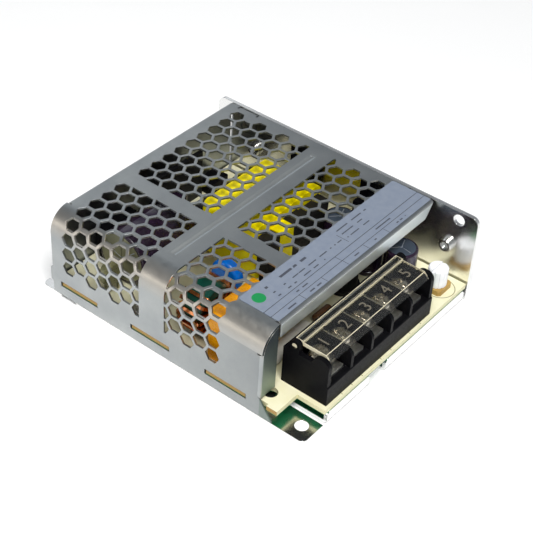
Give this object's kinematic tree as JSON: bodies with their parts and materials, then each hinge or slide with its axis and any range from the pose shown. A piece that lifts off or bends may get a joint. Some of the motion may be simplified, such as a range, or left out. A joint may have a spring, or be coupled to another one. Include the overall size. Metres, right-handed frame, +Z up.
{
  "type": "led power supply",
  "caption": "Enclosed power supply in a folded sheet case with a hexagon grille, screw terminals under a clear flap and a voltage trimmer.",
  "frame": {"origin": "middle of the case's footprint, on its underside", "axes": "+Z up from the case floor, -Y towards the terminals, +X towards the plain side wall"},
  "size_m": [0.082, 0.099, 0.0302],
  "materials": {
    "chassis_aluminium": "bright rolled",
    "cover_zinc": "zinc coated, satin",
    "label_film": "printed film",
    "insulation_film": "satin",
    "board_laminate": "cream top, green solder side",
    "steel_plated": "nickel plated",
    "pillar_brass": "turned",
    "block_plastic": "black moulded",
    "clear_plastic": "clear moulded",
    "contact_tin": "tin plated",
    "knob_white": "moulded",
    "trimmer_brown": "moulded",
    "lamp_green": "translucent",
    "can_sleeve": "dark sleeve on a metal can",
    "plate_black": "black anodised",
    "ferrite": "sintered",
    "tape_yellow": "film tape",
    "copper_wire": "enamelled copper",
    "box_orange": "moulded box",
    "disc_blue": "dipped",
    "disc_olive": "dipped",
    "dip_brown": "dipped",
    "fuse_body": "glass and metal caps"
  },
  "bodies": {
    "case": {"base_chassis": "chassis_aluminium", "cover": "cover_zinc", "rating_label": "label_film", "insulation_sheet": "insulation_film", "pcb": "board_laminate", "side_bosses": "steel_plated", "cover_screws": "steel_plated", "board_standoffs": "pillar_brass", "board_screws": "steel_plated", "terminal_housing": "block_plastic", "terminal_contacts": "contact_tin", "trimmer_base": "trimmer_brown", "status_led": "lamp_green", "output_capacitors": "can_sleeve", "output_inductor": "ferrite", "fuse": "fuse_body", "x_capacitor": "box_orange", "varistor": "disc_blue", "y_capacitor": "disc_blue", "thermistor": "disc_olive", "choke_core": "ferrite", "choke_windings": "copper_wire", "transformer_core": "ferrite", "transformer_winding": "tape_yellow", "transformer_bobbin": "block_plastic", "transformer_tape": "tape_yellow", "bulk_capacitor": "can_sleeve", "bridge_rectifier": "block_plastic", "heatsink": "plate_black", "film_capacitors": "dip_brown", "auxiliary_capacitor": "can_sleeve", "control_chip": "block_plastic", "optocoupler": "block_plastic", "resistors": "dip_brown", "output_diode": "block_plastic", "power_transistor": "block_plastic"},
    "terminal_flap": {"terminal_cover": "clear_plastic"},
    "voltage_knob": {"trimmer_knob": "knob_white"},
    "clamp_1": {"terminal_clamp_1": "steel_plated"},
    "screw_1": {"terminal_screw_1": "steel_plated"},
    "clamp_2": {"terminal_clamp_2": "steel_plated"},
    "screw_2": {"terminal_screw_2": "steel_plated"},
    "clamp_3": {"terminal_clamp_3": "steel_plated"},
    "screw_3": {"terminal_screw_3": "steel_plated"},
    "clamp_4": {"terminal_clamp_4": "steel_plated"},
    "screw_4": {"terminal_screw_4": "steel_plated"},
    "clamp_5": {"terminal_clamp_5": "steel_plated"},
    "screw_5": {"terminal_screw_5": "steel_plated"}
  },
  "joints": [
    {"name": "terminal_flap_swing", "type": "hinge", "parent": "case", "child": "terminal_flap", "pos_m": [0, -0.0366, 0.0212], "axis": [-1, 0, 0], "range_deg": [0, 90]},
    {"name": "voltage_knob_turn", "type": "hinge", "parent": "case", "child": "voltage_knob", "pos_m": [0.032, -0.0431, 0.0063], "axis": [0, 0, 1], "range_deg": [-105, 105]},
    {"name": "clamp_1_travel", "type": "slide", "parent": "case", "child": "clamp_1", "axis": [0, 0, 1], "range_m": [0, 0.003]},
    {"name": "screw_1_turn", "type": "hinge", "parent": "clamp_1", "child": "screw_1", "pos_m": [-0.02385, -0.0405, 0.0137], "axis": [0, 0, 1], "range_deg": [0, 2160]},
    {"name": "clamp_2_travel", "type": "slide", "parent": "case", "child": "clamp_2", "axis": [0, 0, 1], "range_m": [0, 0.003]},
    {"name": "screw_2_turn", "type": "hinge", "parent": "clamp_2", "child": "screw_2", "pos_m": [-0.01435, -0.0405, 0.0137], "axis": [0, 0, 1], "range_deg": [0, 2160]},
    {"name": "clamp_3_travel", "type": "slide", "parent": "case", "child": "clamp_3", "axis": [0, 0, 1], "range_m": [0, 0.003]},
    {"name": "screw_3_turn", "type": "hinge", "parent": "clamp_3", "child": "screw_3", "pos_m": [-0.00485, -0.0405, 0.0137], "axis": [0, 0, 1], "range_deg": [0, 2160]},
    {"name": "clamp_4_travel", "type": "slide", "parent": "case", "child": "clamp_4", "axis": [0, 0, 1], "range_m": [0, 0.003]},
    {"name": "screw_4_turn", "type": "hinge", "parent": "clamp_4", "child": "screw_4", "pos_m": [0.00465, -0.0405, 0.0137], "axis": [0, 0, 1], "range_deg": [0, 2160]},
    {"name": "clamp_5_travel", "type": "slide", "parent": "case", "child": "clamp_5", "axis": [0, 0, 1], "range_m": [0, 0.003]},
    {"name": "screw_5_turn", "type": "hinge", "parent": "clamp_5", "child": "screw_5", "pos_m": [0.01415, -0.0405, 0.0137], "axis": [0, 0, 1], "range_deg": [0, 2160]}
  ],
  "couplings": [
    {"joint": "screw_1_turn", "follows": "clamp_1_travel", "rad_per_m": 12566},
    {"joint": "screw_2_turn", "follows": "clamp_2_travel", "rad_per_m": 12566},
    {"joint": "screw_3_turn", "follows": "clamp_3_travel", "rad_per_m": 12566},
    {"joint": "screw_4_turn", "follows": "clamp_4_travel", "rad_per_m": 12566},
    {"joint": "screw_5_turn", "follows": "clamp_5_travel", "rad_per_m": 12566}
  ]
}
